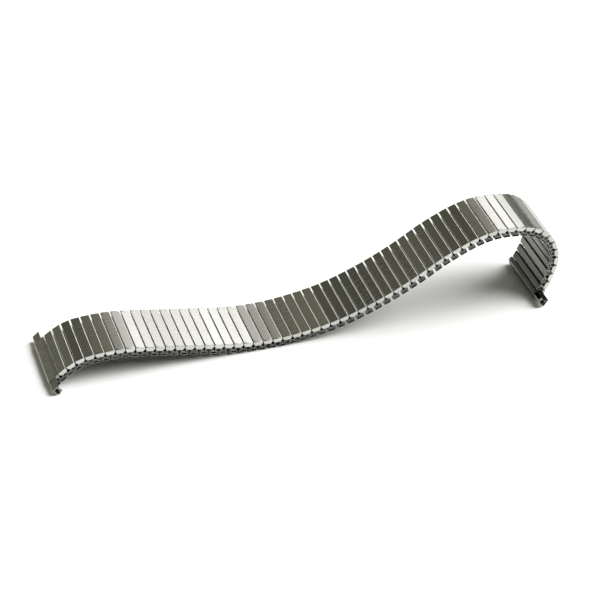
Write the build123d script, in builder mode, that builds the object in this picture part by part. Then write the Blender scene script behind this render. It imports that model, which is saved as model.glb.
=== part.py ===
from build123d import *
import os
from math import cos, radians, sin

# Expansion watch band, lying on a table in a long wave with its right end curled under.
# Lengths are in mm and angles in degrees. X runs along the band from its left end, Y across it
# (near edge at minus Y), Z up. The origin is on the table, under the middle of the band.

# Band
PITCH = 2.46
BAND_WIDTH = 16.0
BAND_THICKNESS = 2.5
TOP_LINK_COUNT = 60
GROUP_COUNT = 10
GROUP_LINK_COUNT = TOP_LINK_COUNT // GROUP_COUNT

# Sleeves: the outer row is the top links, the inner row the bottom links
TOP_GAP = 0.22
BOTTOM_GAP = 0.54
TOP_PLATE = 0.15
BOTTOM_PLATE = 0.12
SLEEVE_WALL = 0.10
END_FLANGE = 0.15
WINDOW_LENGTH = 0.36

# Staples that join the two rows at both edges of the band
STAPLE_WIDTH = 0.38
STAPLE_THICKNESS = 0.18
STAPLE_LEG = 3.0
LEG_GAP = 0.14
TOP_LEG_OFFSET = 0.685

# Leaf springs, one in each sleeve, lying on the wall that faces the other row
SPRING_THICKNESS = 0.06
SPRING_TO_LEG = 0.11
SPRING_SIDE_GAP = 0.20
SPRING_END_GAP = 0.50

# End shells
END_LENGTH = 3.2
END_WALL = 0.18
NOSE_TOP_RADIUS = 0.45
NOSE_BOTTOM_RADIUS = 1.1
END_CLEARANCE = 0.075
DIVIDER_CLEARANCE = 0.03

# Telescoping inserts that hold the watch's spring bars
INSERT_LENGTH = 7.0
INSERT_OUT = 3.3
RIGHT_FAR_OUT = 1.0
INSERT_WALL = 0.22
INSERT_CLEARANCE = 0.04
INSERT_TAB = 0.25
LIP_START = 2.15
BACK_FLANGE = 0.8
SPRING_BAR_HOLE_RADIUS = 0.55
SPRING_BAR_HEIGHT = 1.3
SPRING_BAR_FROM_NOSE = 1.1

# Rest shape: direction of the left end piece, then runs of (links, bend of each link). A bend
# is the turn from one top link to the next, and the last run leads to the right end piece.
START_ANGLE = 41.3
BEND_RUNS = [
    (1, -4.5), (1, -7.5), (2, -11.3), (2, -2.9), (3, -3.5), (9, 0.0), (6, 2.4), (4, 1.75),
    (3, 2.7), (9, 1.5), (2, -2.8), (2, -1.6), (2, -4.6), (2, -7.0), (2, -4.5), (1, -7.4),
    (6, -13.1), (1, -12.1), (2, -3.3), (1, -13.0),
]
# Turn of a staple leg in its sleeve at which neighbouring bottom links nearly meet
CONVEX_LIMIT = 7.0

# Places and sizes that follow
TOP_LENGTH = PITCH - TOP_GAP
BOTTOM_LENGTH = PITCH - BOTTOM_GAP
TOP_HEIGHT = TOP_PLATE + LEG_GAP + STAPLE_THICKNESS + SPRING_TO_LEG + SPRING_THICKNESS + SLEEVE_WALL
BOTTOM_HEIGHT = TOP_HEIGHT - TOP_PLATE + BOTTOM_PLATE
BOTTOM_LEG_OFFSET = PITCH / 2 - TOP_LEG_OFFSET
TOP_LEG_Z = BAND_THICKNESS - TOP_PLATE - LEG_GAP - STAPLE_THICKNESS / 2
BOTTOM_LEG_Z = BOTTOM_PLATE + LEG_GAP + STAPLE_THICKNESS / 2
EDGE_TO_LEG = TOP_LENGTH / 2 - TOP_LEG_OFFSET
WINDOW_Y = BAND_WIDTH / 2 - END_FLANGE - WINDOW_LENGTH / 2
WEB_Y = WINDOW_Y
ARM_Z = BAND_THICKNESS - TOP_HEIGHT

# The body of an end shell stands back from the first bottom link, which turns towards it
BODY_START = (
    EDGE_TO_LEG
    + BOTTOM_LENGTH / 2
    - BOTTOM_LEG_OFFSET
    + TOP_LEG_Z * sin(radians(CONVEX_LIMIT))
    + END_CLEARANCE
)
# The staple pocket of an end shell ends where its leaning staple still clears the divider
POCKET_END = (
    EDGE_TO_LEG
    + (TOP_LEG_Z - ARM_Z) * sin(radians(CONVEX_LIMIT))
    + STAPLE_WIDTH / 2
    + DIVIDER_CLEARANCE
)
INSERT_START = POCKET_END + SLEEVE_WALL


def direction(angle):
    """Unit vector along the band, as (x, z)."""
    return cos(radians(angle)), sin(radians(angle))


def move(point, angle, along, up):
    """The point reached from a point by going along and up in a piece's own directions."""
    c, s = direction(angle)
    return point[0] + along * c - up * s, point[1] + along * s + up * c


def chain_frames():
    """Base points and angles of the end pieces, the top links and the bottom links at rest.

    The band bends at the staple legs in the top links: each bottom link keeps its staples
    square, and takes half of the bend on either side of it.
    """
    bends = [bend for count, bend in BEND_RUNS for _ in range(count)]
    left_end = (0, 0), START_ANGLE
    angle = START_ANGLE
    pivot = move((0, 0), angle, -EDGE_TO_LEG, TOP_LEG_Z)
    tops = []
    bottoms = []
    pivots = []
    for bend in bends:
        pivots.append(pivot)
        angle += bend / 2
        base = move(pivot, angle, BOTTOM_LEG_OFFSET, -TOP_LEG_Z)
        bottoms.append((base, angle))
        pivot = move(pivot, angle, 2 * BOTTOM_LEG_OFFSET, 0)
        pivots.append(pivot)
        angle += bend / 2
        tops.append((move(pivot, angle, TOP_LEG_OFFSET, -TOP_LEG_Z), angle))
        pivot = move(pivot, angle, 2 * TOP_LEG_OFFSET, 0)
    tops.pop()
    right_end = move(pivots[-1], angle, -EDGE_TO_LEG, -TOP_LEG_Z), angle
    return left_end, tops, bottoms, right_end


def outline_circles(left_end, tops, bottoms, right_end):
    """Corner circles (x, z, radius) that hold the outline of the whole band."""
    circles = []
    for point, angle in tops:
        for side in (-1, 1):
            circles.append((*move(point, angle, side * TOP_LENGTH / 2, BAND_THICKNESS), 0))
    for point, angle in bottoms:
        for side in (-1, 1):
            circles.append((*move(point, angle, side * BOTTOM_LENGTH / 2, 0), 0))
    for (point, angle), side in ((left_end, -1), (right_end, 1)):
        top_u = side * (END_LENGTH - NOSE_TOP_RADIUS)
        bottom_u = side * (END_LENGTH - NOSE_BOTTOM_RADIUS)
        top = move(point, angle, top_u, BAND_THICKNESS - NOSE_TOP_RADIUS)
        bottom = move(point, angle, bottom_u, NOSE_BOTTOM_RADIUS)
        circles.append((*top, NOSE_TOP_RADIUS))
        circles.append((*bottom, NOSE_BOTTOM_RADIUS))
    return circles


def piece_plane(frame, shift, outwards=1):
    """The plane of a piece: X along the band (or against it), Z away from the table side."""
    (x, z), angle = frame
    c, s = direction(angle)
    return Plane(
        origin=(x + shift[0], 0, z + shift[1]),
        x_dir=(outwards * c, 0, outwards * s),
        z_dir=(-s, 0, c),
    )


def flipped(plane):
    """The same frame at the top face of the band, with Z pointing into the band."""
    return Plane(
        origin=plane.origin + plane.z_dir * BAND_THICKNESS, x_dir=plane.x_dir, z_dir=-plane.z_dir
    )


def make_sleeve(length, height, plate):
    """A folded sleeve with its outer face on XY, open to the staples through two windows."""
    with BuildPart() as sleeve:
        with BuildSketch(Plane.XZ):
            with Locations((0, height / 2)):
                Rectangle(length, height)
            with Locations((0, (plate + height - SLEEVE_WALL) / 2)):
                Rectangle(
                    length - 2 * SLEEVE_WALL, height - plate - SLEEVE_WALL, mode=Mode.SUBTRACT
                )
        extrude(amount=BAND_WIDTH / 2 - END_FLANGE, both=True)
        with BuildSketch(Plane.XZ.offset(BAND_WIDTH / 2 - END_FLANGE)):
            with Locations((0, height / 2)):
                Rectangle(length, height)
        extrude(amount=END_FLANGE)
        with BuildSketch(Plane.XZ.offset(END_FLANGE - BAND_WIDTH / 2)):
            with Locations((0, height / 2)):
                Rectangle(length, height)
        extrude(amount=-END_FLANGE)
        with BuildSketch(Plane.XY.offset(height)):
            with Locations((0, -WINDOW_Y), (0, WINDOW_Y)):
                Rectangle(length - 2 * SLEEVE_WALL, WINDOW_LENGTH)
        extrude(amount=-SLEEVE_WALL, mode=Mode.SUBTRACT)
    return sleeve.part


def make_leaf_spring(length, height):
    """The strip spring of a sleeve, lying against the wall with the windows."""
    width = length - 2 * SLEEVE_WALL - 2 * SPRING_SIDE_GAP
    with BuildPart() as spring:
        with BuildSketch(Plane.XY.offset(height - SLEEVE_WALL)):
            Rectangle(width, BAND_WIDTH - 2 * END_FLANGE - 2 * WINDOW_LENGTH - SPRING_END_GAP)
        extrude(amount=-SPRING_THICKNESS)
    return spring.part


def make_staple(x, side):
    """A U staple at one edge of the band, its legs pointing inwards; side is -1 near, 1 far."""
    web_outer = WEB_Y + STAPLE_THICKNESS / 2
    mid_z = (TOP_LEG_Z + BOTTOM_LEG_Z) / 2
    leg_span = TOP_LEG_Z - BOTTOM_LEG_Z
    with BuildPart() as staple:
        with BuildSketch(Plane.YZ.offset(x)):
            with Locations((side * (web_outer - STAPLE_LEG / 2), mid_z)):
                Rectangle(STAPLE_LEG, leg_span + STAPLE_THICKNESS)
            inner_y = web_outer - STAPLE_THICKNESS - STAPLE_LEG / 2
            with Locations((side * inner_y, mid_z)):
                Rectangle(STAPLE_LEG, leg_span - STAPLE_THICKNESS, mode=Mode.SUBTRACT)
        extrude(amount=STAPLE_WIDTH / 2, both=True)
    return staple.part


def end_section(inset, arm_start, body_start):
    """The end piece's section inside its skin: a body with a rolled nose and an arm over the links."""
    top = BAND_THICKNESS - inset
    nose = END_LENGTH - inset
    with BuildSketch() as section:
        with BuildLine():
            Polyline(
                (arm_start, top),
                (nose, top),
                (nose, inset),
                (body_start, inset),
                (body_start, ARM_Z + inset),
                (arm_start, ARM_Z + inset),
                close=True,
            )
        make_face()
        top_corner = section.vertices().sort_by_distance((nose, top))[0]
        fillet(top_corner, NOSE_TOP_RADIUS - inset)
        low_corner = section.vertices().sort_by_distance((nose, inset))[0]
        fillet(low_corner, NOSE_BOTTOM_RADIUS - inset)
    return section.sketch


def make_end_shell():
    """An end shell: a sleeve for the inserts, with the staple pocket of a top link beside it."""
    skin = end_section(0, 0, BODY_START)
    cavity = end_section(END_WALL, INSERT_START, BODY_START + END_WALL)
    pocket_mid = (SLEEVE_WALL + POCKET_END) / 2
    pocket_length = POCKET_END - SLEEVE_WALL
    pocket_low = ARM_Z + SLEEVE_WALL
    pocket_top = BAND_THICKNESS - TOP_PLATE
    with BuildPart() as shell:
        with BuildSketch(Plane.XZ):
            add(skin)
            add(cavity, mode=Mode.SUBTRACT)
        extrude(amount=BAND_WIDTH / 2, both=True)
        with BuildSketch(Plane.XZ):
            with Locations((pocket_mid, (pocket_low + pocket_top) / 2)):
                Rectangle(pocket_length, pocket_top - pocket_low)
        extrude(amount=BAND_WIDTH / 2 - END_FLANGE, both=True, mode=Mode.SUBTRACT)
        with BuildSketch(Plane.XY.offset(ARM_Z)):
            with Locations((pocket_mid, -WINDOW_Y), (pocket_mid, WINDOW_Y)):
                Rectangle(pocket_length, WINDOW_LENGTH)
        extrude(amount=SLEEVE_WALL, mode=Mode.SUBTRACT)
    return shell.part


def make_end_spring():
    """The leaf spring in the staple pocket of an end shell."""
    pocket_mid = (SLEEVE_WALL + POCKET_END) / 2
    with BuildPart() as spring:
        with BuildSketch(Plane.XY.offset(ARM_Z + SLEEVE_WALL)):
            with Locations((pocket_mid, 0)):
                Rectangle(
                    POCKET_END - SLEEVE_WALL - SPRING_SIDE_GAP,
                    BAND_WIDTH - 2 * END_FLANGE - 2 * WINDOW_LENGTH - SPRING_END_GAP,
                )
        extrude(amount=SPRING_THICKNESS)
    return spring.part


def make_insert(side, out):
    """A telescoping insert: a channel rolled at the nose, with a holed tab at its outer end."""
    inset = END_WALL + INSERT_CLEARANCE
    body = BODY_START + inset
    web_low = BAND_THICKNESS - inset - INSERT_WALL
    core_nose = END_LENGTH - inset - INSERT_WALL
    core_low = inset + INSERT_WALL
    outer_y = BAND_WIDTH / 2 + out
    inner_y = outer_y - INSERT_LENGTH
    outline = end_section(inset, INSERT_START + INSERT_CLEARANCE, body)
    with BuildSketch() as core:
        with BuildLine():
            Polyline(
                (0, web_low), (core_nose, web_low), (core_nose, core_low), (0, core_low), close=True
            )
        make_face()
        low_corner = core.vertices().sort_by_distance((core_nose, core_low))[0]
        fillet(low_corner, NOSE_BOTTOM_RADIUS - core_low)
    with BuildPart() as insert:
        with BuildSketch(Plane.XZ.offset(-side * inner_y)):
            add(outline)
            add(core.sketch, mode=Mode.SUBTRACT)
            with Locations((LIP_START, 0)):
                Rectangle(LIP_START, web_low, align=(Align.MAX, Align.MIN), mode=Mode.SUBTRACT)
            with Locations((body, web_low)):
                Rectangle(INSERT_WALL, BACK_FLANGE, align=(Align.MIN, Align.MAX))
        extrude(amount=-side * INSERT_LENGTH)
        with BuildSketch(Plane.XZ.offset(-side * outer_y)):
            add(outline)
            with Locations((END_LENGTH - SPRING_BAR_FROM_NOSE, SPRING_BAR_HEIGHT)):
                Circle(SPRING_BAR_HOLE_RADIUS, mode=Mode.SUBTRACT)
        extrude(amount=side * INSERT_TAB)
    return insert.part


def place(label, pieces):
    """Join copies of pieces at their planes into one labelled group and write it."""
    with BuildPart() as group:
        for piece, planes in pieces:
            with Locations(*planes):
                add(piece)
    group.part.label = label
    export_step(group.part, f"parts/{label}.step")
    return group.part


os.makedirs("parts", exist_ok=True)

# Rest frames, moved so that the band stands on the table about the origin
left_end, tops, bottoms, right_end = chain_frames()
circles = outline_circles(left_end, tops, bottoms, right_end)
low_x = min(x - radius for x, z, radius in circles)
high_x = max(x + radius for x, z, radius in circles)
low_z = min(z - radius for x, z, radius in circles)
shift = -(low_x + high_x) / 2, -low_z
top_planes = [flipped(piece_plane(frame, shift)) for frame in tops]
bottom_planes = [piece_plane(frame, shift) for frame in bottoms]

# One of each repeated piece
top_link = make_sleeve(TOP_LENGTH, TOP_HEIGHT, TOP_PLATE)
bottom_link = make_sleeve(BOTTOM_LENGTH, BOTTOM_HEIGHT, BOTTOM_PLATE)
top_spring = make_leaf_spring(TOP_LENGTH, TOP_HEIGHT)
bottom_spring = make_leaf_spring(BOTTOM_LENGTH, BOTTOM_HEIGHT)
left_staples = [make_staple(-BOTTOM_LEG_OFFSET, side) for side in (-1, 1)]
right_staples = [make_staple(BOTTOM_LEG_OFFSET, side) for side in (-1, 1)]

# Groups of links, each with the pieces that stay with it
for group in range(GROUP_COUNT):
    first = group * GROUP_LINK_COUNT
    last = first + GROUP_LINK_COUNT
    upper = top_planes[first:last]
    lower = bottom_planes[first:last]
    rights = lower
    if group == GROUP_COUNT - 1:
        lower = bottom_planes[first:]
    number = f"{group + 1:02d}"
    place(f"top_links_{number}", [(top_link, upper)])
    place(f"bottom_links_{number}", [(bottom_link, lower)])
    place(f"leaf_springs_{number}", [(top_spring, upper), (bottom_spring, lower)])
    staples = [(staple, rights) for staple in right_staples]
    staples += [(staple, lower[1:]) for staple in left_staples]
    place(f"staples_{number}", staples)
    place(f"hinge_staples_{number}", [(staple, lower[:1]) for staple in left_staples])
place(
    f"hinge_staples_{GROUP_COUNT + 1:02d}", [(staple, bottom_planes[-1:]) for staple in right_staples]
)

# End pieces; at the left end the outward direction is against the band, so near and far swap
end_shell = make_end_shell()
end_spring = make_end_spring()
for name, frame, outwards in (("left", left_end, -1), ("right", right_end, 1)):
    plane = piece_plane(frame, shift, outwards)
    far_out = RIGHT_FAR_OUT if name == "right" else INSERT_OUT
    place(f"{name}_end_shell", [(end_shell, [plane])])
    place(f"{name}_end_spring", [(end_spring, [plane])])
    place(f"{name}_insert_near", [(make_insert(-outwards, INSERT_OUT), [plane])])
    place(f"{name}_insert_far", [(make_insert(outwards, far_out), [plane])])
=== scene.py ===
"""Looks of an expansion watch band: brushed sleeves, staples and rolled ends on a white table.

Lengths in the size classes are in millimetres, as on the band itself, and are turned into
metres where a mesh is made. X runs along the band, Y across it, Z up.
"""

import logging
from dataclasses import dataclass
from enum import Enum

import bpy
import numpy as np
from mathutils import Matrix, Vector
from mathutils.geometry import tessellate_polygon


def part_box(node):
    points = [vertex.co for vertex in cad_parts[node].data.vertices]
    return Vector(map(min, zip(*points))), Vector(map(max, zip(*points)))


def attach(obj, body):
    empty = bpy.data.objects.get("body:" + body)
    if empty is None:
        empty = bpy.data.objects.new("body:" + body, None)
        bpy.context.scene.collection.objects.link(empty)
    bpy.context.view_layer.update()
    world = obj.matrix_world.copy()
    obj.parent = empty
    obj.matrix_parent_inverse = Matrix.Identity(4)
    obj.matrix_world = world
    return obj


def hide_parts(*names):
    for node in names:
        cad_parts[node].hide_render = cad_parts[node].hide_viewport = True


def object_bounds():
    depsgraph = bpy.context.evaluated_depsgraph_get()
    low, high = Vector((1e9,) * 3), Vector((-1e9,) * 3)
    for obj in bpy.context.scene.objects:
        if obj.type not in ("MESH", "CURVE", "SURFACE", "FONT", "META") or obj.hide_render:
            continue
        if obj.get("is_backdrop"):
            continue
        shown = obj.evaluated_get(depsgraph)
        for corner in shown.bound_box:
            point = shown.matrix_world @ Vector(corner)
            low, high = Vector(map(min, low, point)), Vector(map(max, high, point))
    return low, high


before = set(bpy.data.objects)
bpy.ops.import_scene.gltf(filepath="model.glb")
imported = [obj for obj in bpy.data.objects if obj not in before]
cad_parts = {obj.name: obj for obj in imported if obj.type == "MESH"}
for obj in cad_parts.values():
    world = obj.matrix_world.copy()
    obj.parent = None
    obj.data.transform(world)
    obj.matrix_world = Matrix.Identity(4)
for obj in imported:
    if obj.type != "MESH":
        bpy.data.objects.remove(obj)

MM = 0.001
TINY = 1e-9
LOG = logging.getLogger("band")
Socket = bpy.types.NodeSocket


def add_object(name: str, data: bpy.types.ID) -> bpy.types.Object:
    """Adds an object of some data to the scene.

    Args:
        name: its name.
        data: a mesh, a light or a camera.

    Returns:
        The object.
    """
    item = bpy.data.objects.new(name, data)
    bpy.context.scene.collection.objects.link(item)
    return item


class End(Enum):
    """The two ends of the band; the value is the outward direction along the band."""

    LEFT = -1
    RIGHT = 1


class Edge(Enum):
    """The two edges of the band; the value is the sign of Y."""

    NEAR = -1
    FAR = 1

    def span(self, inner: float, outer: float) -> list:
        """The range of Y at this edge between two distances from the middle line."""
        return sorted((self.value * inner, self.value * outer))


class Slot(Enum):
    """The steels of the replaced pieces; the value is the model's material slot."""

    LINK = "link_steel"
    END = "end_steel"
    INSERT = "insert_steel"
    STAPLE = "staple_steel"


@dataclass(frozen=True)
class BandSizes:
    """Sizes shared by the pieces of the band, in millimetres."""

    pitch: float = 2.46
    width: float = 16.0
    thickness: float = 2.5
    top_gap: float = 0.22
    bottom_gap: float = 0.54
    sleeve_wall: float = 0.10
    top_plate: float = 0.15
    bottom_plate: float = 0.12
    end_flange: float = 0.15
    window: float = 0.36
    staple_width: float = 0.38
    staple_thickness: float = 0.18
    staple_leg: float = 3.0
    leg_gap: float = 0.14
    spring_room: float = 0.17
    top_leg_offset: float = 0.685
    groups: int = 10
    group_size: int = 6

    @property
    def top_length(self) -> float:
        """Length of a top sleeve along the band."""
        return self.pitch - self.top_gap

    @property
    def bottom_length(self) -> float:
        """Length of a bottom sleeve along the band."""
        return self.pitch - self.bottom_gap

    @property
    def half_width(self) -> float:
        """Distance from the middle line of the band to its edge."""
        return self.width / 2

    @property
    def window_out(self) -> float:
        """Distance from the middle line to the outer end of the staple windows."""
        return self.half_width - self.end_flange

    @property
    def window_in(self) -> float:
        """Distance from the middle line to the inner end of the staple windows."""
        return self.window_out - self.window

    @property
    def bottom_leg_offset(self) -> float:
        """Distance of a staple leg from the middle of its bottom sleeve."""
        return self.pitch / 2 - self.top_leg_offset

    @property
    def top_height(self) -> float:
        """Height of a top sleeve."""
        inside = self.leg_gap + self.staple_thickness + self.spring_room
        return self.top_plate + inside + self.sleeve_wall

    @property
    def bottom_height(self) -> float:
        """Height of a bottom sleeve."""
        return self.top_height - self.top_plate + self.bottom_plate

    @property
    def top_leg_z(self) -> float:
        """Height of a staple's upper leg over the underside of the band."""
        return self.thickness - self.top_plate - self.leg_gap - self.staple_thickness / 2

    @property
    def bottom_leg_z(self) -> float:
        """Height of a staple's lower leg over the underside of the band."""
        return self.bottom_plate + self.leg_gap + self.staple_thickness / 2

    @property
    def edge_to_leg(self) -> float:
        """Distance from the edge of a top sleeve to the staple leg in it."""
        return self.top_length / 2 - self.top_leg_offset


@dataclass(frozen=True)
class Frames:
    """Base points (n, 2) in X and Z, and angles (n,) in radians, of pieces along the band."""

    points: np.ndarray
    angles: np.ndarray

    def part(self, chosen: slice) -> "Frames":
        """The frames of some of the pieces."""
        return Frames(self.points[chosen], self.angles[chosen])

    def place(self, x: np.ndarray, z: np.ndarray) -> tuple:
        """Puts copies of local points at every frame.

        A local point (x, z) goes to base + x * along + z * up.

        Args:
            x: distances along the piece, (n,).
            z: heights over its underside, (n,).

        Returns:
            X and Z of the placed points, each (frames, n).
        """
        cos, sin = np.cos(self.angles)[:, None], np.sin(self.angles)[:, None]
        return (
            self.points[:, :1] + x * cos - z * sin,
            self.points[:, 1:] + x * sin + z * cos,
        )

    @staticmethod
    def along(angles: np.ndarray) -> np.ndarray:
        """Unit vectors (n, 2) that run along pieces at these angles."""
        return np.stack([np.cos(angles), np.sin(angles)], axis=-1)

    @staticmethod
    def up(angles: np.ndarray) -> np.ndarray:
        """Unit vectors (n, 2) that stand square on pieces at these angles."""
        return np.stack([-np.sin(angles), np.cos(angles)], axis=-1)


@dataclass(frozen=True)
class RestShape:
    """The wave in which the band lies, as runs of (links, bend of each link in degrees)."""

    start_angle: float = 41.3
    runs: tuple = (
        (1, -4.5), (1, -7.5), (2, -11.3), (2, -2.9), (3, -3.5), (9, 0.0), (6, 2.4), (4, 1.75),
        (3, 2.7), (9, 1.5), (2, -2.8), (2, -1.6), (2, -4.6), (2, -7.0), (2, -4.5), (1, -7.4),
        (6, -13.1), (1, -12.1), (2, -3.3), (1, -13.0),
    )

    def solve(self, sizes: BandSizes) -> dict:
        """Frames of all pieces, before the band is moved to the origin.

        The band turns at the upper staple legs. Every bottom sleeve takes half of a bend on
        either side, and the pivots are running sums of the steps between them.

        Args:
            sizes: the sizes of the band.

        Returns:
            Frames under the keys "tops", "bottoms", "left" and "right".
        """
        counts, degrees = zip(*self.runs)
        bends = np.radians(np.repeat(degrees, counts))
        after = np.radians(self.start_angle) + np.cumsum(bends)
        middle = after - bends / 2
        along, up = Frames.along, Frames.up
        start = np.radians([self.start_angle])
        first = -sizes.edge_to_leg * along(start) + sizes.top_leg_z * up(start)
        low_step = 2 * sizes.bottom_leg_offset * along(middle)
        top_step = 2 * sizes.top_leg_offset * along(after)
        moves = np.cumsum(low_step + top_step, axis=0)
        left_pivots = first + np.vstack([np.zeros((1, 2)), moves[:-1]])
        right_pivots = left_pivots + low_step
        bottoms = left_pivots + low_step / 2 - sizes.top_leg_z * up(middle)
        tops = right_pivots + top_step / 2 - sizes.top_leg_z * up(after)
        last = after[-1:]
        right = right_pivots[-1:] - sizes.edge_to_leg * along(last) - sizes.top_leg_z * up(last)
        return {
            "tops": Frames(tops[:-1], after[:-1]),
            "bottoms": Frames(bottoms, middle),
            "left": Frames(np.zeros((1, 2)), start),
            "right": Frames(right, last),
        }


@dataclass
class Shell:
    """A closed surface, in millimetres.

    vertices is (n, 3) and quads (m, 4), caps holds the triangles of the ends, and edge says how
    strongly each vertex is marked as wear and painted highlight, from 0 to 1.
    """

    vertices: np.ndarray
    quads: np.ndarray
    caps: list
    edge: np.ndarray

    def mark_lit_worn_edge(self, reach: float, height: float, wear_and_highlight: float) -> "Shell":
        """Marks the long upper edge at plus X, toward the light, as wear and painted highlight.

        Args:
            reach: distance from the middle beyond which the edge lies.
            height: height above which it lies.
            wear_and_highlight: how strongly it is marked as wear and painted highlight, up to 1.

        Returns:
            The surface itself.
        """
        x, _, z = self.vertices.T
        self.edge[(x > reach) & (z > height)] = wear_and_highlight
        return self

    def _flipped(self, vertices: np.ndarray) -> "Shell":
        """The same faces, turned round, on new vertices."""
        return Shell(vertices, self.quads[:, ::-1], [cap[::-1] for cap in self.caps], self.edge)

    def turned(self) -> "Shell":
        """The surface with its sweep along X and its section in Y and Z, faces still outward."""
        return self._flipped(self.vertices[:, [1, 0, 2]])

    def mirrored(self) -> "Shell":
        """The surface at the other edge of the band, faces still outward."""
        return self._flipped(self.vertices * np.array([1, -1, 1]))

    def moved(self, offset: tuple) -> "Shell":
        """The surface moved by an offset."""
        return Shell(self.vertices + np.array(offset), self.quads, self.caps, self.edge)


class Profile:
    """Plane outlines made of corners and arcs."""

    MITRE_LIMIT = 0.5

    @staticmethod
    def _unit(vectors: np.ndarray) -> np.ndarray:
        """The vectors, which lie along the last axis, brought to length 1."""
        return vectors / np.maximum(np.linalg.norm(vectors, axis=-1, keepdims=True), TINY)

    @classmethod
    def box(cls, x: tuple, z: tuple, low_radius: float = 0.0, high_radius: float = 0.0) -> np.ndarray:
        """A rectangle.

        Args:
            x: its left and right side.
            z: its underside and upper side.
            low_radius: radius of the two lower corners.
            high_radius: radius of the two upper corners.

        Returns:
            Points (n, 2), counter-clockwise.
        """
        low = [(side, z[0], low_radius) for side in x]
        high = [(side, z[1], high_radius) for side in reversed(x)]
        return cls.rounded(low + high)

    @classmethod
    def rounded(cls, corners: list, steps: int = 5) -> np.ndarray:
        """A closed outline whose corners are rounded off.

        A corner with radius r is replaced by the circle that touches both of its sides: with
        half angle h between the sides, the circle starts r / tan(h) from the corner.

        Args:
            corners: (x, z, radius) of each corner, counter-clockwise.
            steps: number of points on each arc.

        Returns:
            Points (n, 2), counter-clockwise.
        """
        data = np.array(corners, dtype=float)
        points, radii = data[:, :2], data[:, 2]
        back = cls._unit(np.roll(points, 1, axis=0) - points)
        ahead = cls._unit(np.roll(points, -1, axis=0) - points)
        half = np.arccos(np.clip(np.sum(back * ahead, axis=1), -1, 1)) / 2
        reach = radii / np.tan(half)
        centres = points + cls._unit(back + ahead) * (radii / np.sin(half))[:, None]
        first = points + back * reach[:, None] - centres
        last = points + ahead * reach[:, None] - centres
        share = np.linspace(0, 1, steps)[None, :, None]
        spokes = cls._unit(first[:, None] * (1 - share) + last[:, None] * share)
        arcs = centres[:, None] + spokes * radii[:, None, None]
        sharp = radii == 0
        outline = [points[i:i + 1] if sharp[i] else arcs[i] for i in range(len(points))]
        return np.vstack(outline)

    @classmethod
    def inset(cls, outline: np.ndarray, distance: float) -> np.ndarray:
        """The outline with each point moved inwards along the mitre of its two sides.

        Where two sides meet sharply, the mitre is cut short.

        Args:
            outline: points (n, 2), counter-clockwise.
            distance: how far the sides move.

        Returns:
            Points (n, 2), in step with the outline.
        """
        ahead = cls._unit(np.roll(outline, -1, axis=0) - outline)
        normal = np.stack([-ahead[:, 1], ahead[:, 0]], axis=1)
        before = np.roll(normal, 1, axis=0)
        mitre = normal + before
        scale = np.maximum(np.sum(mitre * mitre, axis=1), cls.MITRE_LIMIT)
        return outline + distance * 2 * mitre / scale[:, None]

    @staticmethod
    def ray_ring(outline: np.ndarray, centre: tuple, count: int) -> np.ndarray:
        """Points where evenly spaced rays from a centre meet a convex outline.

        A ray in direction d meets the side line n . p = h at distance (h - n . c) / (n . d),
        and the nearest of these distances in front of the centre is where it leaves.

        Args:
            outline: points (n, 2), counter-clockwise.
            centre: X and Z of the centre.
            count: how many rays.

        Returns:
            Points (count, 2), counter-clockwise.
        """
        ahead = np.roll(outline, -1, axis=0) - outline
        outward = np.stack([ahead[:, 1], -ahead[:, 0]], axis=1)
        offset = np.sum(outward * (outline - np.array(centre)), axis=1)
        turn = np.linspace(0, 2 * np.pi, count, endpoint=False)
        rays = np.stack([np.cos(turn), np.sin(turn)], axis=1)
        slope = rays @ outward.T
        with np.errstate(divide="ignore", invalid="ignore"):
            reach = np.where(slope > TINY, offset[None, :] / slope, np.inf)
        return np.array(centre) + rays * np.min(reach, axis=1)[:, None]


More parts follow.
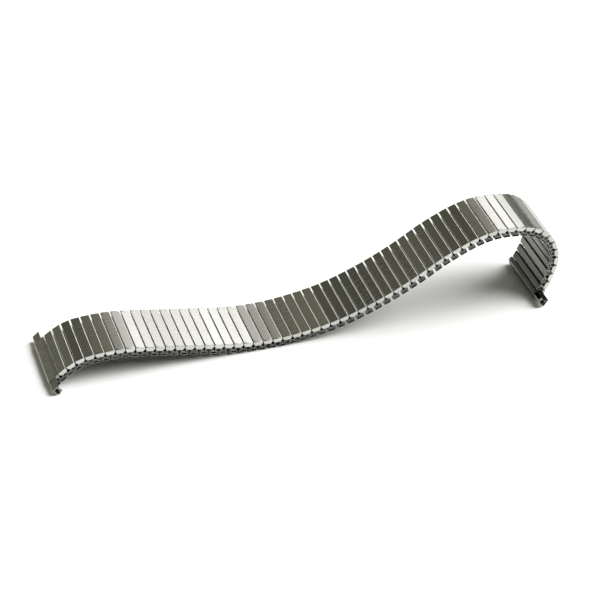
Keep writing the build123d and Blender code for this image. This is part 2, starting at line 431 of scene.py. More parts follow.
class Solids:
    """Closed surfaces swept from plane outlines."""

    @classmethod
    def _rings(cls, loops: list, closed: bool) -> Shell:
        """Joins equal loops of points (n, 3) by quads.

        Args:
            loops: arrays of points, each the next ring of the surface.
            closed: True joins the last ring to the first; False caps both.

        Returns:
            The surface, with no edge marks.
        """
        size = len(loops[0])
        ring = np.arange(size)
        following = np.roll(ring, -1)
        count = len(loops)
        steps = count if closed else count - 1
        start = (np.arange(steps) * size)[:, None]
        end = ((np.arange(steps) + 1) % count * size)[:, None]
        quads = np.stack(
            [start + ring, start + following, end + following, end + ring], axis=-1
        ).reshape(-1, 4)
        caps = []
        if not closed:
            caps += [face[::-1] for face in cls._cap(loops[0])]
            caps += [face + (count - 1) * size for face in cls._cap(loops[-1])]
        return Shell(np.vstack(loops), quads, caps, np.zeros(size * count))

    @staticmethod
    def _cap(loop: np.ndarray) -> list:
        """Fills a ring with triangles that are turned the way it runs.

        A triangle turned the other way than the ring, by the sign of its area, is flipped.

        Args:
            loop: points (n, 3) at one Y.

        Returns:
            Three point numbers for each triangle.
        """
        faces = np.array(tessellate_polygon([[Vector(point) for point in loop.tolist()]]))
        first, second, third = (loop[faces[:, k]] for k in range(3))
        area = np.cross(second - first, third - first)[:, 1]
        whole = np.sum(np.cross(loop, np.roll(loop, -1, axis=0))[:, 1])
        faces[area * whole < 0] = faces[area * whole < 0][:, ::-1]
        return list(faces)

    @staticmethod
    def _lift(outline: np.ndarray, depth: float) -> np.ndarray:
        """A section in X and Z, as points in space at Y = depth."""
        return np.column_stack([outline[:, 0], np.full(len(outline), depth), outline[:, 1]])

    @classmethod
    def sweep(
        cls,
        outline: np.ndarray,
        span: tuple,
        hole: np.ndarray | None = None,
        rim: float = 0.0,
        wear_and_highlight: float = 0.0,
    ) -> Shell:
        """An outline in X and Z carried along Y.

        Args:
            outline: points (n, 2), counter-clockwise.
            span: Y of the near and the far end.
            hole: points (n, 2) of a hole that goes through, in step with the outline.
            rim: width of the chamfer at both ends of the outside.
            wear_and_highlight: how strongly the outside is marked as wear and painted highlight, up to
                1.

        Returns:
            The closed surface.
        """
        low, high = span
        ends = Profile.inset(outline, rim) if rim else outline
        middle = [cls._lift(outline, high - rim), cls._lift(outline, low + rim)] if rim else []
        outside = [cls._lift(ends, high), *middle, cls._lift(ends, low)]
        inside = [] if hole is None else [cls._lift(hole, depth) for depth in span]
        shell = cls._rings(outside + inside, closed=bool(inside))
        shell.edge[: len(outside) * len(outline)] = wear_and_highlight
        return shell


class Piece:
    """One mesh object made of many placed surfaces, with the attributes the finishes read.

    The attribute "grain" holds each point's place on its own sleeve in millimetres, "tone" a
    number between 0 and 1 that is the same over one sleeve, and "edge" how strongly the point
    is marked as wear and painted highlight.
    """

    SHARP_DEGREES = 32
    PLATE_WEIGHT = 100

    def __init__(self, name: str) -> None:
        """Starts an empty piece under a name."""
        self.name = name
        self.vertices: list = []
        self.faces: list = []
        self.grain: list = []
        self.tone: list = []
        self.edge: list = []
        self.count = 0

    def add(self, shells: list, frames: Frames, tones: np.ndarray, outwards: int = 1) -> None:
        """Places copies of some surfaces at every frame.

        Args:
            shells: surfaces in the piece's own frame.
            frames: where the copies go.
            tones: one tone per frame.
            outwards: 1, or -1 to turn the surfaces half round about their own Z.
        """
        copies = len(frames.angles)
        for shell in shells:
            local = shell.vertices * np.array([outwards, outwards, 1.0])
            x, y, z = local.T
            world_x, world_z = frames.place(x, z)
            world = np.stack([world_x, np.broadcast_to(y, (copies, len(y))), world_z], axis=-1)
            shift = self.count + np.arange(copies) * len(local)
            quads = shell.quads[None] + shift[:, None, None]
            self.faces += quads.reshape(-1, 4).tolist()
            for cap in shell.caps:
                self.faces += (cap[None] + shift[:, None]).tolist()
            self.vertices.append(world.reshape(-1, 3))
            self.grain.append(np.tile(shell.vertices, (copies, 1)))
            self.tone.append(np.repeat(tones, len(local)))
            self.edge.append(np.tile(shell.edge, copies))
            self.count += copies * len(local)

    def build(self, material: bpy.types.Material) -> bpy.types.Object:
        """Makes the object in metres and gives it its finish.

        Args:
            material: the finish.

        Returns:
            The object, linked to the scene.
        """
        mesh = bpy.data.meshes.new(self.name)
        mesh.from_pydata((np.vstack(self.vertices) * MM).tolist(), [], self.faces)
        grain = np.vstack(self.grain).astype(np.float32)
        places = mesh.attributes.new("grain", "FLOAT_VECTOR", "POINT")
        places.data.foreach_set("vector", grain.ravel())
        for key, values in (("tone", self.tone), ("edge", self.edge)):
            numbers = mesh.attributes.new(key, "FLOAT", "POINT")
            numbers.data.foreach_set("value", np.concatenate(values).astype(np.float32))
        corners = np.empty(len(mesh.loops), dtype=np.int32)
        mesh.loops.foreach_get("vertex_index", corners)
        layer = mesh.uv_layers.new(name="brushing")
        layer.data.foreach_set("uv", grain[corners][:, [1, 0]].ravel())
        mesh.shade_smooth()
        mesh.set_sharp_from_angle(angle=np.radians(self.SHARP_DEGREES))
        mesh.materials.append(material)
        mesh.validate()
        mesh.update()
        item = add_object(self.name, mesh)
        flat_plates = item.modifiers.new("flat plates", "WEIGHTED_NORMAL")
        flat_plates.weight = self.PLATE_WEIGHT
        flat_plates.keep_sharp = True
        return item


class NodeMaker:
    """Short ways to add linked shader nodes to a tree.

    MIX_INPUTS are the inputs of a node that mixes colours: the share, the first and the second
    colour. MIX_RESULT is its output for colours. NOISE_RANGE holds most values of a noise.
    """

    MIX_INPUTS = (0, 6, 7)
    MIX_RESULT = 2
    NOISE_RANGE = (0.3, 0.7)

    def __init__(self, tree: bpy.types.NodeTree) -> None:
        """Keeps the tree."""
        self.tree = tree

    @classmethod
    def material(cls, name: str) -> tuple:
        """Starts a material.

        Args:
            name: its name.

        Returns:
            The material, whose node tree is empty, and the maker that fills it.
        """
        material = bpy.data.materials.new(name)
        material.use_nodes = True
        material.node_tree.nodes.clear()
        return material, cls(material.node_tree)

    def _feed(self, socket: Socket, value: object) -> None:
        """Links an output to a socket, or sets the socket to a plain value.

        Args:
            socket: an input of a node.
            value: the output or the plain value, where three numbers can be a colour.
        """
        if isinstance(value, Socket):
            self.tree.links.new(value, socket)
        elif isinstance(value, tuple) and len(value) == 3 and socket.type == "RGBA":
            socket.default_value = (*value, 1.0)
        else:
            socket.default_value = value

    def node(self, kind: str, inputs: dict, **options: object) -> bpy.types.Node:
        """Adds a node.

        Args:
            kind: its kind, without the words in front that all shader nodes share.
            inputs: outputs or plain values, by the name or number of the input they go to.
            options: settings of the node that are no inputs.

        Returns:
            The node.
        """
        node = self.tree.nodes.new(f"ShaderNode{kind}")
        for option, value in options.items():
            setattr(node, option, value)
        for key, value in inputs.items():
            self._feed(node.inputs[key], value)
        return node

    def attribute(self, name: str, output: str = "Vector") -> Socket:
        """An attribute of the mesh."""
        return self.node("Attribute", {}, attribute_name=name).outputs[output]

    def coordinates(self, output: str) -> Socket:
        """Blender's own coordinates of a point."""
        return self.node("TexCoord", {}).outputs[output]

    def part(self, vector: Socket, axis: str) -> Socket:
        """One number of a vector."""
        return self.node("SeparateXYZ", {"Vector": vector}).outputs[axis]

    def vector(self, operation: str, first: Socket, second: object) -> Socket:
        """A vector operation."""
        inputs = {0: first, "Scale" if operation == "SCALE" else 1: second}
        return self.node("VectorMath", inputs, operation=operation).outputs["Vector"]

    def maths(self, operation: str, *values: object) -> Socket:
        """A number operation."""
        return self.node("Math", dict(enumerate(values)), operation=operation).outputs["Value"]

    def noise(self, place: Socket, scale: float, detail: float, roughness: float) -> Socket:
        """Noise at a place, as a number around one half."""
        inputs = {"Vector": place, "Scale": scale, "Detail": detail, "Roughness": roughness}
        return self.node("TexNoise", inputs).outputs["Fac"]

    def ranged(self, value: Socket, start: tuple, end: tuple = (0.0, 1.0)) -> Socket:
        """A number carried from one range, its lowest and highest value, into another."""
        names = ("Value", "From Min", "From Max", "To Min", "To Max")
        return self.node("MapRange", dict(zip(names, (value, *start, *end)))).outputs["Result"]

    def mix(self, share: Socket, first: object, second: object, edges: tuple = (0.0, 1.0)) -> Socket:
        """A mix of two colours, from the first at the lower edge of the share to the second."""
        inputs = dict(zip(self.MIX_INPUTS, (self.ranged(share, edges), first, second)))
        return self.node("Mix", inputs, data_type="RGBA").outputs[self.MIX_RESULT]

    def bump(self, height: Socket, distance: float, strength: float) -> Socket:
        """A normal bumped by a height between 0 and 1."""
        inputs = {"Height": height, "Distance": distance, "Strength": strength}
        return self.node("Bump", inputs).outputs["Normal"]

    def surface(self, inputs: dict) -> None:
        """Adds the shader with its inputs and the output of the material."""
        shader = self.node("BsdfPrincipled", inputs)
        self.node("OutputMaterial", {"Surface": shader.outputs["BSDF"]})


@dataclass(frozen=True)
class SteelFinish:
    """A satin steel: its colours, with painted shade on low parts and a painted highlight on marked
    rims, how matt it is, and how its grain runs.
    """

    name: str
    colour: tuple = (0.57, 0.567, 0.545)
    dark_colour: tuple = (0.45, 0.447, 0.42)
    # The underside colours paint shade on low parts: under the band, the lower sleeves and the rolled
    # ends, partly a duller inner finish.
    wrist_shade_colour: tuple = (0.21, 0.209, 0.19)
    wrist_shade_dark: tuple = (0.045, 0.045, 0.04)
    wrist_shade_height: tuple = (0.74, 1.2)
    side_shade_lift: float = 1.2
    side_shade_power: float = 4.0
    # Marked rims take a pale, less metallic colour that the far light catches: partly wear, partly a
    # painted highlight.
    rim_highlight_colour: tuple = (0.92, 0.91, 0.87)
    rim_highlight_share: float = 0.8
    rim_roughness: float = 0.12
    rim_matt: float = 0.8
    roughness: float = 0.245
    roughness_spread: float = 0.05
    tone_roughness: float = -0.05
    anisotropy: float = 0.65
    grain_height: float = 0.0003
    bump_strength: float = 0.25
    fine_grain: tuple = (0.35, 22.0, 22.0)
    broad_grain: tuple = (0.12, 2.2, 2.2)
    mottle: float = 2.6
    tone_shift: float = 37.0
    tone_share: float = 0.45
    broad_share: float = 0.15
    mottle_share: float = 0.40
    fine_share: float = 0.30
    shade_range: tuple = (0.25, 0.95)

    def build(self) -> bpy.types.Material:
        """Builds the node tree of the finish.

        Fine noise stretched along the band gives the brushed grain, coarse noise the uneven
        colour, and the tone of each sleeve shifts both its colour and its gloss. Below two heights the
        colour turns dark: painted shade on the underside, the lower sleeves and the rolled ends,
        partly a duller inner finish. A face turned to an edge of the band counts as the side lift in
        millimetres higher than it is, or lower where that is negative, which takes that painted shade
        off such faces or puts it on. Marked edges mix in a pale rim colour and turn matt: partly wear,
        partly a painted highlight that the far light catches.

        Returns:
            The material.
        """
        material, maker = NodeMaker.material(self.name)
        place = maker.attribute("grain")
        tone = maker.attribute("tone", output="Fac")
        # The edge attribute carries the marks of wear and painted highlight.
        rim = maker.attribute("edge", output="Fac")
        shifted = maker.vector("ADD", place, maker.vector("SCALE", tone, self.tone_shift))
        fine_place = maker.vector("MULTIPLY", shifted, self.fine_grain)
        fine = maker.noise(fine_place, scale=1.0, detail=3.0, roughness=0.6)
        broad_place = maker.vector("MULTIPLY", shifted, self.broad_grain)
        broad = maker.noise(broad_place, scale=1.0, detail=2.0, roughness=0.5)
        mottle = maker.noise(shifted, scale=self.mottle, detail=4.0, roughness=0.55)
        shade = maker.maths("MULTIPLY", tone, self.tone_share)
        shade = maker.maths("MULTIPLY_ADD", broad, self.broad_share, shade)
        shade = maker.maths("MULTIPLY_ADD", mottle, self.mottle_share, shade)
        shade = maker.maths("MULTIPLY_ADD", fine, self.fine_share, shade)
        outer = maker.mix(shade, self.dark_colour, self.colour, self.shade_range)
        # Painted shade: the dark underside colours, partly a duller inner finish.
        painted_wrist_shade = maker.mix(shade, self.wrist_shade_dark, self.wrist_shade_colour, self.shade_range)
        # Faces turned to the band's edges are moved up or down in height, which takes the painted
        # shade off them or puts it on.
        facing = maker.part(maker.coordinates("Normal"), "Y")
        sideways = maker.maths("POWER", maker.maths("ABSOLUTE", facing), self.side_shade_power)
        level = maker.maths("MULTIPLY_ADD", sideways, self.side_shade_lift, maker.part(place, "Z"))
        body = maker.mix(level, painted_wrist_shade, outer, self.wrist_shade_height)
        gloss = (self.roughness - self.roughness_spread, self.roughness + self.roughness_spread)
        rough = maker.ranged(fine, maker.NOISE_RANGE, gloss)
        rough = maker.maths("MULTIPLY_ADD", tone, self.tone_roughness, rough)
        tangent = maker.node("Tangent", {}, direction_type="UV_MAP", uv_map="brushing")
        # Marked edges mix in the pale rim colour: partly wear, partly a painted highlight.
        maker.surface(
            {
                "Base Color": maker.mix(
                    maker.maths("MULTIPLY", rim, self.rim_highlight_share), body, self.rim_highlight_colour
                ),
                "Metallic": maker.maths("MULTIPLY_ADD", rim, -self.rim_matt, 1.0),
                "Roughness": maker.maths("MULTIPLY_ADD", rim, self.rim_roughness, rough),
                "Normal": maker.bump(fine, self.grain_height * MM, self.bump_strength),
                "Tangent": tangent.outputs["Tangent"],
                "Anisotropic": self.anisotropy,
            }
        )
        return material


@dataclass(frozen=True)
class SpringFinish:
    """Plain spring strip, which has no grain of its own to follow."""

    name: str = "spring strip"
    colour: tuple = (0.46, 0.45, 0.42)
    dark_colour: tuple = (0.33, 0.32, 0.29)
    cloud_scale: float = 900.0
    cloud_range: tuple = (0.35, 0.65)
    line_scale: tuple = (9000.0, 400.0, 9000.0)
    line_height: float = 0.004
    line_strength: float = 0.3
    roughness_range: tuple = (0.28, 0.42)

    def build(self) -> bpy.types.Material:
        """Builds the node tree: cloudy colour and gloss from object coordinates.

        Returns:
            The material.
        """
        material, maker = NodeMaker.material(self.name)
        place = maker.coordinates("Object")
        cloud = maker.noise(place, scale=self.cloud_scale, detail=4.0, roughness=0.6)
        line_place = maker.vector("MULTIPLY", place, self.line_scale)
        lines = maker.noise(line_place, scale=1.0, detail=2.0, roughness=0.5)
        maker.surface(
            {
                "Base Color": maker.mix(cloud, self.dark_colour, self.colour, self.cloud_range),
                "Metallic": 1.0,
                "Roughness": maker.ranged(lines, maker.NOISE_RANGE, self.roughness_range),
                "Normal": maker.bump(lines, self.line_height * MM, self.line_strength),
            }
        )
        return material


@dataclass
class Sleeves:
    """The two rows of folded sleeves; only the top ones have a long edge at plus X, toward the light,
    marked as wear and painted highlight.
    """

    sizes: BandSizes
    top_edge_radius: float = 0.15
    top_low_radius: float = 0.22
    lit_worn_share: float = 0.8
    edge_wear_and_highlight: float = 1.0
    flange_depth: float = 1.1
    flange_cut: float = 0.50
    flange_fillet: float = 0.05
    oval_radius: float = 0.27
    oval_wall: float = 0.09
    rim: float = 0.035
    seat: float = 0.10

    def top(self) -> list:
        """One top sleeve in its own frame, middle at X = 0 and underside of the band at Z = 0.

        It is a plate with two folded walls, a lower wall between the windows, and a flange
        with cut lower corners at each end.

        Returns:
            Its surfaces.
        """
        s = self.sizes
        half, wall = s.top_length / 2, s.sleeve_wall
        high, low = s.thickness, s.thickness - s.top_height
        under = high - s.top_plate
        upper, lower = self.top_edge_radius, self.top_low_radius
        outer = Profile.box((-half, half), (low, high), lower, upper)
        inner = Profile.box(
            (wall - half, half - wall), (low + wall, under), lower - wall, wall / 2
        )
        sill = low + lower + self.seat
        channel = Profile.rounded(
            [
                (-half, sill, 0), (wall - half, sill, 0), (wall - half, under, wall / 2),
                (half - wall, under, wall / 2), (half - wall, sill, 0), (half, sill, 0),
                (half, high, upper), (-half, high, upper),
            ]
        )
        cut, foot, fillet = self.flange_cut, high - self.flange_depth, self.flange_fillet
        flange = Profile.rounded(
            [
                (-half, foot + cut, fillet), (cut - half, foot, fillet),
                (half - cut, foot, fillet), (half, foot + cut, fillet),
                (half, high, upper), (-half, high, upper),
            ],
            steps=4,
        )
        shells = [Solids.sweep(outer, (-s.window_in, s.window_in), inner)]
        for edge in Edge:
            shells.append(Solids.sweep(channel, edge.span(s.window_in, s.window_out)))
            ends = edge.span(s.window_out, s.half_width)
            shells.append(Solids.sweep(flange, ends, rim=self.rim))
        # The long upper edge at plus X, toward the light, is marked: partly wear, partly a painted
        # highlight.
        start = self.lit_worn_share * upper
        return [shell.mark_lit_worn_edge(half - start, high - start, self.edge_wear_and_highlight) for shell in shells]

    def bottom(self) -> list:
        """One bottom sleeve: a flat oval tube with windows above and open ends.

        Returns:
            Its surfaces.
        """
        s = self.sizes
        half, wall, high = s.bottom_length / 2, s.sleeve_wall, s.bottom_height
        floor, sill = s.bottom_plate, high - self.oval_radius
        radius, inner_radius = self.oval_radius, self.oval_radius - wall
        outer = Profile.box((-half, half), (0, high), radius, radius)
        inner = Profile.box(
            (wall - half, half - wall), (floor, high - wall), inner_radius, inner_radius
        )
        hole = Profile.inset(outer, self.oval_wall)
        channel = Profile.rounded(
            [
                (half, sill, 0), (half - wall, sill, 0), (half - wall, floor, inner_radius),
                (wall - half, floor, inner_radius), (wall - half, sill, 0), (-half, sill, 0),
                (-half, 0, radius), (half, 0, radius),
            ]
        )
        shells = [Solids.sweep(outer, (-s.window_in, s.window_in), inner)]
        for edge in Edge:
            shells.append(Solids.sweep(channel, edge.span(s.window_in, s.window_out)))
            ends = edge.span(s.window_out, s.half_width)
            shells.append(Solids.sweep(outer, ends, hole, self.rim))
        return shells


@dataclass
class Staples:
    """The U staples that join the two rows at the edges of the band."""

    sizes: BandSizes
    bend_radius: float = 0.17
    inner_radius: float = 0.05
    rim: float = 0.03
    edge_wear_and_highlight: float = 1.0

    def pair(self, x: float) -> list:
        """The near and the far staple at a place along a bottom sleeve.

        Args:
            x: distance from the middle of the sleeve.

        Returns:
            Their surfaces.
        """
        s = self.sizes
        strip = s.staple_thickness
        web = s.window_out - s.window / 2 + strip / 2
        tip = web - s.staple_leg
        low, high = s.bottom_leg_z - strip / 2, s.top_leg_z + strip / 2
        outline = Profile.rounded(
            [
                (tip, low, 0), (web, low, self.bend_radius), (web, high, self.bend_radius),
                (tip, high, 0), (tip, high - strip, 0),
                (web - strip, high - strip, self.inner_radius),
                (web - strip, low + strip, self.inner_radius), (tip, low + strip, 0),
            ]
        )
        half = s.staple_width / 2
        bar = Solids.sweep(outline, (-half, half), rim=self.rim, wear_and_highlight=self.edge_wear_and_highlight)
        far = bar.turned().moved((x, 0, 0))
        return [far, far.mirrored()]


@dataclass
class EndPieces:
    """The end shells and the inserts that slide in them."""

    sizes: BandSizes
    length: float = 3.2
    wall: float = 0.18
    nose_top: float = 0.45
    nose_bottom: float = 1.1
    body_start: float = 1.183
    pocket_end: float = 0.699
    insert_clearance: float = 0.04
    insert_wall: float = 0.22
    insert_length: float = 7.0
    insert_out: float = 3.3
    right_far_out: float = 1.0
    tab: float = 0.25
    tab_recess: float = 0.4
    lip_start: float = 2.15
    back_flange: float = 0.8
    slit_radius: float = 0.10
    edge_wear_and_highlight: float = 0.1
    hole_radius: float = 0.55
    hole_from_nose: float = 1.1
    hole_height: float = 1.3
    rim: float = 0.02
    sharp_fillet: float = 0.02
    small_fillet: float = 0.03
    lip_fillet: float = 0.04
    inner_fillet: float = 0.05
    heel_fillet: float = 0.08
    flange_cut: float = 0.2
    hole_points: int = 96

    def outline(self, inset: float, arm_start: float, body_start: float) -> np.ndarray:
        """The end piece's section at a depth inside its skin.

        Args:
            inset: depth inside the skin.
            arm_start: where the arm over the links begins.
            body_start: where the body begins.

        Returns:
            Points (n, 2), counter-clockwise, as X outwards and Z.
        """
        s = self.sizes
        arm = s.thickness - s.top_height + inset
        top, nose = s.thickness - inset, self.length - inset
        return Profile.rounded(
            [
                (arm_start, top, self.small_fillet), (arm_start, arm, self.small_fillet),
                (body_start, arm, self.inner_fillet), (body_start, inset, self.heel_fillet),
                (nose, inset, self.nose_bottom - inset), (nose, top, self.nose_top - inset),
            ],
            steps=10,
        )

    def shell(self) -> list:
        """An end shell, X outwards from its slit edge: the rolled body and the staple pocket.

        Returns:
            Its surfaces.
        """
        s = self.sizes
        top, low, wall = s.thickness, s.thickness - s.top_height, s.sleeve_wall
        under, end, cut = top - s.top_plate, self.pocket_end, self.flange_cut
        outer = self.outline(0, end, self.body_start)
        inner = self.outline(self.wall, end + wall, self.body_start + self.wall)
        skin = Profile.rounded(
            [
                (0, low + wall, 0), (wall, low + wall, 0), (wall, under, 0), (end, under, 0),
                (end, top, 0), (0, top, self.slit_radius),
            ]
        )
        floor = Profile.box((0, end), (low, low + wall))
        flange = Profile.rounded(
            [
                (0, low + cut, self.lip_fillet), (cut, low, self.lip_fillet), (end, low, 0),
                (end, top, 0), (0, top, self.slit_radius),
            ]
        )
        half = s.half_width
        shells = [
            Solids.sweep(outer, (-half, half), inner, self.rim, self.edge_wear_and_highlight),
            Solids.sweep(skin, (-s.window_out, s.window_out)),
            Solids.sweep(floor, (-s.window_in, s.window_in)),
        ]
        return shells + [Solids.sweep(flange, edge.span(s.window_out, half)) for edge in Edge]

    def insert(self, side: int, reach: float) -> list:
        """An insert at its rest place: a channel with a rolled nose and a holed tab inside.

        Args:
            side: -1 for the insert at minus Y of the end piece's own frame, 1 for the other.
            reach: how far it stands out of its end shell.

        Returns:
            Its surfaces.
        """
        s = self.sizes
        inset, wall = self.wall + self.insert_clearance, self.insert_wall
        nose, top, low = self.length - inset, s.thickness - inset, inset
        body = self.body_start + inset
        arm = self.pocket_end + s.sleeve_wall + self.insert_clearance
        out = s.half_width + reach
        tab_out = out - self.tab_recess
        tab_in = tab_out - self.tab
        under = top - wall
        flange = under - self.back_flange
        sharp, small = self.sharp_fillet, self.small_fillet
        r_top, r_low = self.nose_top - inset, self.nose_bottom - inset
        channel = Profile.rounded(
            [
                (arm, top, sharp), (arm, under, sharp), (body, under, 0),
                (body, flange, small), (body + wall, flange, small), (body + wall, under, small),
                (nose - wall, under, sharp), (nose - wall, low + wall, r_low - wall),
                (self.lip_start, low + wall, self.lip_fillet),
                (self.lip_start, low, self.lip_fillet), (nose, low, r_low), (nose, top, r_top),
            ],
            steps=8,
        )
        tab_outline = Profile.rounded(
            [
                (body, top, small), (body, low, self.heel_fillet), (nose, low, r_low),
                (nose, top, r_top),
            ],
            steps=12,
        )
        centre = (self.length - self.hole_from_nose, self.hole_height)
        ring = Profile.ray_ring(tab_outline, centre, self.hole_points)
        turn = np.linspace(0, 2 * np.pi, self.hole_points, endpoint=False)
        hole = np.array(centre) + self.hole_radius * Frames.along(turn)
        shells = [
            Solids.sweep(channel, (out - self.insert_length, tab_in)),
            Solids.sweep(ring, (tab_in, tab_out), hole),
            Solids.sweep(Profile.box((arm, body), (under, top)), (tab_in, tab_out)),
            Solids.sweep(channel, (tab_out, out), rim=self.rim, wear_and_highlight=self.edge_wear_and_highlight),
        ]
        return [shell.mirrored() for shell in shells] if side < 0 else shells


@dataclass
class Band:
    """The whole band: it places every piece and hands it to its body.

    finishes holds the material of each slot, and seed starts the random tones.
    """

    sizes: BandSizes
    rest: RestShape
    finishes: dict
    # Tones of the last bottom sleeves in the curl, given one by one: partly their own tone, partly
    # painted shade, darkest on the last two.
    curl_shade_tones: tuple = (0.9, 0.6, 0.6, 0.3, 0.45, 0.55, 0.0, 0.0)
    cover_tone: float = 0.4
    insert_tone: float = 0.6
    seed: int = 7

    def __post_init__(self) -> None:
        """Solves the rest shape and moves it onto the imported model."""
        self.frames = self.rest.solve(self.sizes)
        self.sleeves = Sleeves(self.sizes)
        self.staples = Staples(self.sizes)
        self.ends = EndPieces(self.sizes)
        self.rng = np.random.default_rng(self.seed)
        self._move_to_model()

    def _move_to_model(self) -> None:
        """Shifts all frames so that the first top sleeve meets its place in the model.

        The model's origin is under the middle of the band, so the shift is the difference
        between the box of the first group of top sleeves here and in the model.
        """
        s = self.sizes
        half = s.top_length / 2
        section = Profile.box((-half, half), (s.thickness - s.top_height, s.thickness))
        x, z = self.frames["tops"].part(slice(s.group_size)).place(*section.T)
        box_low, box_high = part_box("top_links_01")
        shift = np.array([box_low[0] / MM - x.min(), box_low[2] / MM - z.min()])
        for key, value in self.frames.items():
            self.frames[key] = Frames(value.points + shift, value.angles)
        LOG.info("frames moved by %.3f, %.3f mm", *shift)

    def build(self) -> None:
        """Builds and dresses every visible piece."""
        s = self.sizes
        tops, bottoms = self.frames["tops"], self.frames["bottoms"]
        top_tones = self.rng.random(len(tops.angles))
        bottom_tones = self.rng.random(len(bottoms.angles))
        bottom_tones[-len(self.curl_shade_tones):] = self.curl_shade_tones
        left_pair = self.staples.pair(-s.bottom_leg_offset)
        right_pair = self.staples.pair(s.bottom_leg_offset)
        for group in range(s.groups):
            number = f"{group + 1:02d}"
            body = f"group_{number}"
            span = slice(group * s.group_size, (group + 1) * s.group_size)
            low_span = slice(span.start, None) if group == s.groups - 1 else span
            lefts = slice(low_span.start + 1, low_span.stop)
            top_part = (self.sleeves.top(), tops.part(span), top_tones[span])
            low_part = (self.sleeves.bottom(), bottoms.part(low_span), bottom_tones[low_span])
            right_part = (right_pair, bottoms.part(span), bottom_tones[span])
            left_part = (left_pair, bottoms.part(lefts), bottom_tones[lefts])
            first = bottoms.part(slice(span.start, span.start + 1))
            self._make(f"sleeves_top_{number}", body, f"top_links_{number}", Slot.LINK, top_part)
            self._make(f"sleeves_bottom_{number}", body, f"bottom_links_{number}", Slot.LINK, low_part)
            self._make(
                f"staple_set_{number}", body, f"staples_{number}", Slot.STAPLE, right_part, left_part
            )
            self._make_hinge(number, (left_pair, first, bottom_tones[:1]))
        last = bottoms.part(slice(-1, None))
        self._make_hinge(f"{s.groups + 1:02d}", (right_pair, last, bottom_tones[-1:]))
        for end in End:
            self._make_end(end)

    def _make_hinge(self, number: str, part: tuple) -> None:
        """Makes the pair of staples that turns at the station with this number."""
        node = f"hinge_staples_{number}"
        self._make(f"hinge_pair_{number}", f"hinge_{number}", node, Slot.STAPLE, part)

    def _make_end(self, end: End) -> None:
        """Makes the shell and both inserts of one end.

        Args:
            end: which end.
        """
        side = end.name.lower()
        frames = self.frames[side]
        cover = (self.ends.shell(), frames, np.array([self.cover_tone]), end.value)
        self._make(f"{side}_cover", f"{side}_end", f"{side}_end_shell", Slot.END, cover)
        for edge in Edge:
            word = edge.name.lower()
            pushed_in = end is End.RIGHT and edge is Edge.FAR
            reach = self.ends.right_far_out if pushed_in else self.ends.insert_out
            shells = self.ends.insert(edge.value * end.value, reach)
            slider = (shells, frames, np.array([self.insert_tone]), end.value)
            body, node = f"{side}_{word}_insert", f"{side}_insert_{word}"
            self._make(f"{side}_slider_{word}", body, node, Slot.INSERT, slider)

    def _make(self, name: str, body: str, node: str, steel: Slot, *parts: tuple) -> None:
        """Makes a piece and lets it stand for its node of the model.

        Args:
            name: the piece's name.
            body: the body it moves with.
            node: the node it replaces.
            steel: its steel.
            parts: what goes into the piece, each the arguments of one Piece.add.
        """
        piece = Piece(name)
        for part in parts:
            piece.add(*part)
        item = piece.build(self.finishes[steel])
        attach(item, body)
        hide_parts(node)
        LOG.info("%s: %d vertices for %s", item.name, piece.count, node)

    def dress_springs(self, material: bpy.types.Material) -> None:
        """Gives the leaf springs, which stay as they are in the model, their finish.

        Args:
            material: the finish.
        """
        names = [f"leaf_springs_{n + 1:02d}" for n in range(self.sizes.groups)]
        for name in names + ["left_end_spring", "right_end_spring"]:
            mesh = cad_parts[name].data
            mesh.materials.clear()
            mesh.materials.append(material)


@dataclass(frozen=True)
class Lamp:
    """A round light that faces the band; its place and its width, the diameter, are in metres."""

    name: str
    place: tuple
    width: float
    radiance: float
    tint: tuple = (1.0, 1.0, 1.0)

    def watts(self) -> float:
        """Its power: a disc of area A and radiance L gives pi * A * L watts."""
        return np.pi * (np.pi * self.width**2 / 4) * self.radiance


LAMP_PLACE = (0.849989, 1.443982, 1.091986)


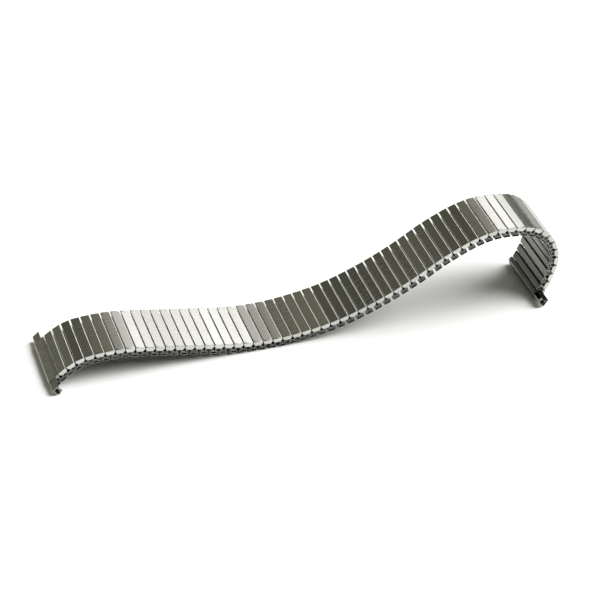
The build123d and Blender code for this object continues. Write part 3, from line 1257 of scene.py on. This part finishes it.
@dataclass
class Studio:
    """The white table, the lights, and the dim room with a low white screen all round.

    Its lengths are in metres.
    """

    floor_size: float = 40.0
    floor_drop: float = 0.00002
    floor_colour: tuple = (0.88, 0.88, 0.88)
    floor_roughness: float = 0.9
    room_colour: tuple = (0.112, 0.112, 0.082)
    left_colour: tuple = (0.18, 0.178, 0.138)
    left_edge: tuple = (-0.42, -0.22)
    screen_colour: tuple = (0.93, 0.93, 0.93)
    screen_edge: tuple = (0.0, 0.015)
    lamps: tuple = (
        Lamp("lamp behind", LAMP_PLACE, width=0.56, radiance=2.3),
        Lamp("fringe of the lamp", LAMP_PLACE, width=1.03, radiance=0.75),
        Lamp("glow", (0.40, 1.48, 1.28), width=0.92, radiance=0.15, tint=(1.0, 0.99, 0.78)),
        Lamp("lamp above", (-0.25, -0.15, 1.3), width=0.6, radiance=0.8),
    )
    sun_direction: tuple = (0.76, -0.06, 0.65)
    sun_width: float = 60.0
    sun_strength: float = 6.2

    def build(self) -> None:
        """Makes the table, the room and the lights."""
        self._floor()
        self._room()
        self._sun()
        for lamp in self.lamps:
            self._lamp(lamp)

    @staticmethod
    def _hang(data: bpy.types.Light, place: tuple) -> bpy.types.Object:
        """Places a light so that it faces the band.

        Args:
            data: the light.
            place: where it stands, in metres.

        Returns:
            The light's object.
        """
        light = add_object(data.name, data)
        light.location = place
        light.rotation_euler = Vector(place).to_track_quat("Z", "Y").to_euler()
        return light

    def _sun(self) -> None:
        """Adds the far light that whitens the table and gives the band its shadow."""
        data = bpy.data.lights.new("far light", "SUN")
        data.energy = self.sun_strength
        data.angle = np.radians(self.sun_width)
        light = self._hang(data, self.sun_direction)
        light.visible_glossy = False
        light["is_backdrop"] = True

    def _floor(self) -> None:
        """Makes the white table."""
        half = self.floor_size / 2
        mesh = bpy.data.meshes.new("table")
        corners = [(-half, -half, 0), (half, -half, 0), (half, half, 0), (-half, half, 0)]
        mesh.from_pydata(corners, [], [(0, 1, 2, 3)])
        table = add_object("table", mesh)
        table.location = (0, 0, -self.floor_drop)
        material, maker = NodeMaker.material("white table")
        gloss = {"Roughness": self.floor_roughness, "Specular IOR Level": 0.0}
        maker.surface({"Base Color": self.floor_colour, **gloss})
        mesh.materials.append(material)
        table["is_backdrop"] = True

    def _room(self) -> None:
        """Makes the dim room that the steel reflects, white up to a little over the table.

        A direction's Z takes it from the screen to the room between the two numbers of
        screen_edge, and its X from the paler left side to the rest between those of left_edge.
        """
        world = bpy.data.worlds.new("room")
        world.use_nodes = True
        tree = world.node_tree
        maker = NodeMaker(tree)
        way = maker.coordinates("Generated")
        across, up = maker.part(way, "X"), maker.part(way, "Z")
        room = maker.mix(across, self.left_colour, self.room_colour, self.left_edge)
        colour = maker.mix(up, self.screen_colour, room, self.screen_edge)
        tree.links.new(colour, tree.nodes["Background"].inputs["Color"])
        bpy.context.scene.world = world

    def _lamp(self, lamp: Lamp) -> None:
        """Adds a round light.

        Args:
            lamp: its place, size, brightness and colour.
        """
        data = bpy.data.lights.new(lamp.name, "AREA")
        data.shape = "DISK"
        data.color = lamp.tint
        data.size = lamp.width
        data.energy = lamp.watts()
        light = self._hang(data, lamp.place)
        light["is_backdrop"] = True


@dataclass
class PhotoCamera:
    """The camera that took the photograph, as fitted to the gaps between the sleeves."""

    right: tuple = (0.9527, -0.3036, 0.0105)
    up: tuple = (0.1672, 0.5528, 0.8164)
    back: tuple = (-0.2536, -0.776, 0.5774)
    place: tuple = (-75.62, -417.4, 315.81)
    lens: float = 132.0
    sensor_width: float = 36.0
    nearest: float = 0.01
    farthest: float = 100.0

    def build(self, shift: np.ndarray) -> None:
        """Makes the camera.

        Args:
            shift: X and Z of the left end piece's base point in the model, in millimetres.
        """
        data = bpy.data.cameras.new("camera")
        data.lens = self.lens
        data.sensor_width = self.sensor_width
        data.clip_start = self.nearest
        data.clip_end = self.farthest
        camera = add_object("camera", data)
        matrix = Matrix((self.right, self.up, self.back)).transposed().to_4x4()
        x, y, z = self.place
        matrix.translation = ((x + shift[0]) * MM, y * MM, (z + shift[1]) * MM)
        camera.matrix_world = matrix
        bpy.context.scene.camera = camera


def corners() -> list:
    """The lowest and highest corner of the shown object, as plain lists."""
    return [list(corner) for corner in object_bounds()]


def main() -> None:
    """Builds the band, its room and its camera in order."""
    logging.basicConfig(level=logging.INFO, format="%(name)s: %(message)s")
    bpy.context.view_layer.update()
    finishes = {
        Slot.LINK: SteelFinish("brushed sleeve").build(),
        # The end steel's underside colours paint shade on the rolled nose and the underside, below the
        # top face.
        Slot.END: SteelFinish(
            "brushed end",
            colour=(0.50, 0.497, 0.475),
            dark_colour=(0.38, 0.377, 0.355),
            wrist_shade_colour=(0.13, 0.129, 0.117),
            wrist_shade_dark=(0.08, 0.08, 0.07),
            wrist_shade_height=(1.8, 2.49),
        ).build(),
        # The insert's underside colours paint shade on its faces turned to the band's edges: the ends
        # of its channel and tab.
        Slot.INSERT: SteelFinish(
            "rolled insert",
            colour=(0.54, 0.537, 0.51),
            dark_colour=(0.40, 0.397, 0.37),
            wrist_shade_colour=(0.24, 0.238, 0.22),
            wrist_shade_dark=(0.16, 0.158, 0.145),
            wrist_shade_height=(-2.6, -2.2),
            side_shade_lift=-6.0,
        ).build(),
        # The staple colours are painted shade: dark for the gaps between the rows where the staples
        # stand.
        Slot.STAPLE: SteelFinish(
            "staple strip in painted shade",
            colour=(0.10, 0.099, 0.09),
            dark_colour=(0.06, 0.059, 0.053),
            rim_highlight_colour=(0.26, 0.257, 0.24),
            side_shade_lift=0.0,
            roughness=0.30,
            rim_matt=0.0,
        ).build(),
    }
    band = Band(BandSizes(), RestShape(), finishes)
    band.build()
    band.dress_springs(SpringFinish().build())
    Studio().build()
    PhotoCamera().build(band.frames["left"].points[0])
    bpy.context.scene.view_settings.view_transform = "Standard"


if __name__ == "__main__":
    main()
